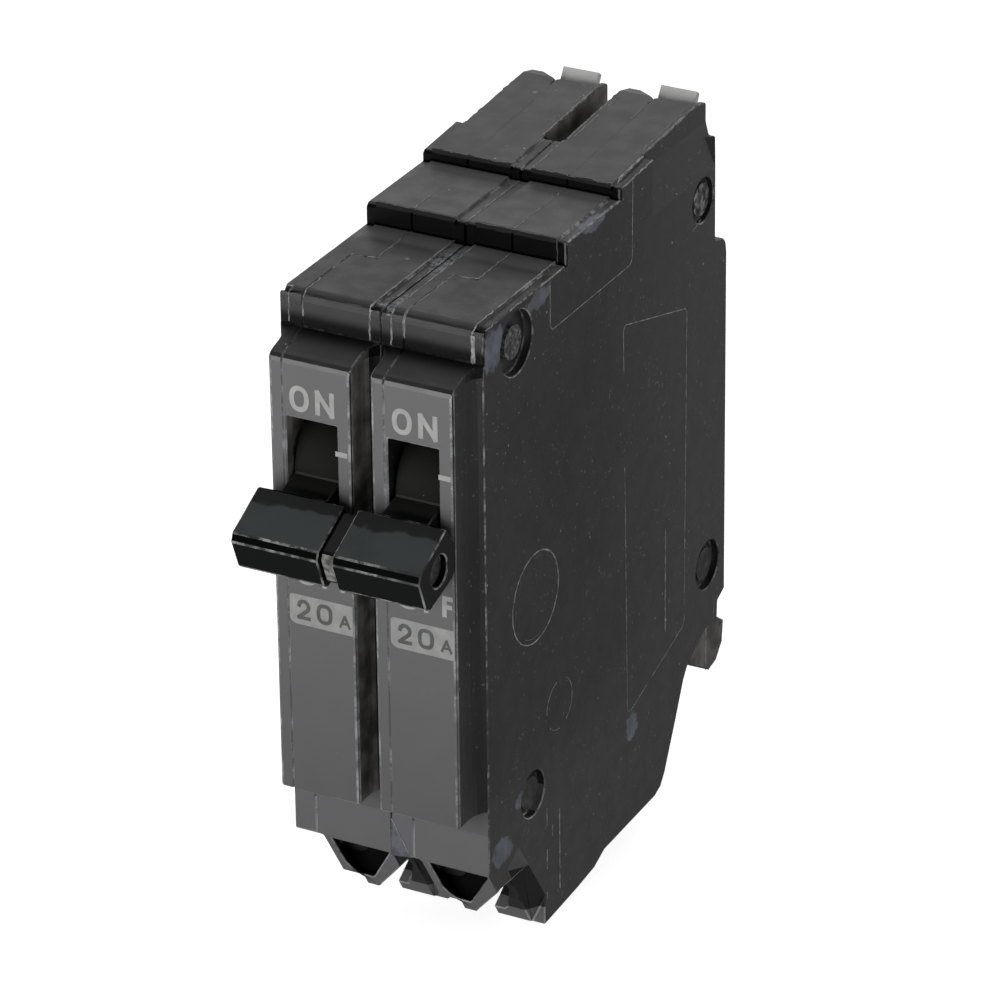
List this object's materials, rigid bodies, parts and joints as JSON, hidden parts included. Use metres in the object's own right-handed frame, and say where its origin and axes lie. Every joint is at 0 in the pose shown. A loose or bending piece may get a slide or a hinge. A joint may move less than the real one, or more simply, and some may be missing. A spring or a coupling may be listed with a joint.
{
  "type": "circuit breaker",
  "caption": "Two-pole plug-in moulded-case circuit breaker with tied toggle handles, rear line jaws, rail hooks and screw load terminals.",
  "frame": {"origin": "middle of the bounding box at its lowest point, between the two poles", "axes": "+X across the poles, +Y from the handles to the mounting face, +Z from the load end to the line end"},
  "size_m": [0.0252, 0.074, 0.0871],
  "materials": {
    "shell": "satin charcoal phenolic",
    "handle": "glossy black",
    "tin": "tinned",
    "contact": "silver",
    "copper": "bare copper",
    "steel": "plain steel",
    "spring": "spring steel",
    "bimetal": "bimetal",
    "brass": "brass",
    "zinc": "zinc plated",
    "fibre": "vulcanised fibre",
    "pin": "bright steel",
    "spacer": "grey moulding",
    "trip_bar": "cream moulding",
    "rivet": "plated steel"
  },
  "bodies": {
    "root": {"base_shell_left": "shell", "base_shell_right": "shell", "cover_shell_left": "shell", "cover_shell_right": "shell", "line_jaw_left": "tin", "line_jaw_right": "tin", "fixed_contact_left": "contact", "fixed_contact_right": "contact", "bimetal_left": "bimetal", "bimetal_right": "bimetal", "magnet_yoke_left": "steel", "magnet_yoke_right": "steel", "calibration_screw_left": "brass", "calibration_screw_right": "brass", "braid_left": "copper", "braid_right": "copper", "load_strap_left": "brass", "load_strap_right": "brass", "arc_plates_left": "steel", "arc_plates_right": "steel", "arc_frame_left": "fibre", "arc_frame_right": "fibre", "rivets": "rivet"},
    "handles": {"handle_left": "handle", "handle_right": "handle", "tie_pin": "pin", "tie_spacer": "spacer"},
    "trip_bar": {"trip_bar": "trip_bar"},
    "contact_arm_left": {"contact_arm_left": "copper", "moving_contact_left": "contact"},
    "trip_lever_left": {"trip_lever_left": "steel", "toggle_spring_left": "spring"},
    "armature_left": {"armature_left": "steel"},
    "terminal_screw_left": {"terminal_screw_left": "zinc", "clamp_plate_left": "zinc"},
    "contact_arm_right": {"contact_arm_right": "copper", "moving_contact_right": "contact"},
    "trip_lever_right": {"trip_lever_right": "steel", "toggle_spring_right": "spring"},
    "armature_right": {"armature_right": "steel"},
    "terminal_screw_right": {"terminal_screw_right": "zinc", "clamp_plate_right": "zinc"}
  },
  "joints": [
    {"name": "handle_throw", "type": "hinge", "parent": "root", "child": "handles", "pos_m": [0, -0.02125, 0.0614], "axis": [-1, 0, 0], "range_deg": [0, 42]},
    {"name": "contact_arm_left_swing", "type": "hinge", "parent": "handles", "child": "contact_arm_left", "pos_m": [-0.00635, -0.01472, 0.06391], "axis": [1, 0, 0], "range_deg": [0, 64.01], "deforming": ["braid_left", "toggle_spring_left"]},
    {"name": "trip_lever_left_trip", "type": "hinge", "parent": "root", "child": "trip_lever_left", "pos_m": [-0.00635, -0.00825, 0.076], "axis": [-1, 0, 0], "range_deg": [0, 20]},
    {"name": "armature_left_pull", "type": "hinge", "parent": "root", "child": "armature_left", "pos_m": [-0.00635, 0.00925, 0.033], "axis": [1, 0, 0], "range_deg": [0, 3.5], "stiffness_Nm_per_rad": 0.01},
    {"name": "terminal_screw_left_clamp", "type": "slide", "parent": "root", "child": "terminal_screw_left", "axis": [0, 0.8434, 0.5373], "range_m": [0, 0.0017]},
    {"name": "contact_arm_right_swing", "type": "hinge", "parent": "handles", "child": "contact_arm_right", "pos_m": [0.00635, -0.01472, 0.06391], "axis": [1, 0, 0], "range_deg": [0, 64.01], "deforming": ["braid_right", "toggle_spring_right"]},
    {"name": "trip_lever_right_trip", "type": "hinge", "parent": "root", "child": "trip_lever_right", "pos_m": [0.00635, -0.00825, 0.076], "axis": [-1, 0, 0], "range_deg": [0, 20]},
    {"name": "armature_right_pull", "type": "hinge", "parent": "root", "child": "armature_right", "pos_m": [0.00635, 0.00925, 0.033], "axis": [1, 0, 0], "range_deg": [0, 3.51], "stiffness_Nm_per_rad": 0.01},
    {"name": "terminal_screw_right_clamp", "type": "slide", "parent": "root", "child": "terminal_screw_right", "axis": [0, 0.8434, 0.5373], "range_m": [0, 0.0017]},
    {"name": "trip_bar_turn", "type": "hinge", "parent": "root", "child": "trip_bar", "pos_m": [0, 0.01235, 0.046], "axis": [1, 0, 0], "range_deg": [0, 7.01], "stiffness_Nm_per_rad": 0.01}
  ],
  "couplings": [
    {"joint": "contact_arm_left_swing", "follows": "handle_throw", "ratio": 1.5238},
    {"joint": "contact_arm_right_swing", "follows": "handle_throw", "ratio": 1.5238},
    {"joint": "armature_right_pull", "follows": "armature_left_pull", "ratio": 1},
    {"joint": "trip_bar_turn", "follows": "armature_left_pull", "ratio": 2}
  ]
}
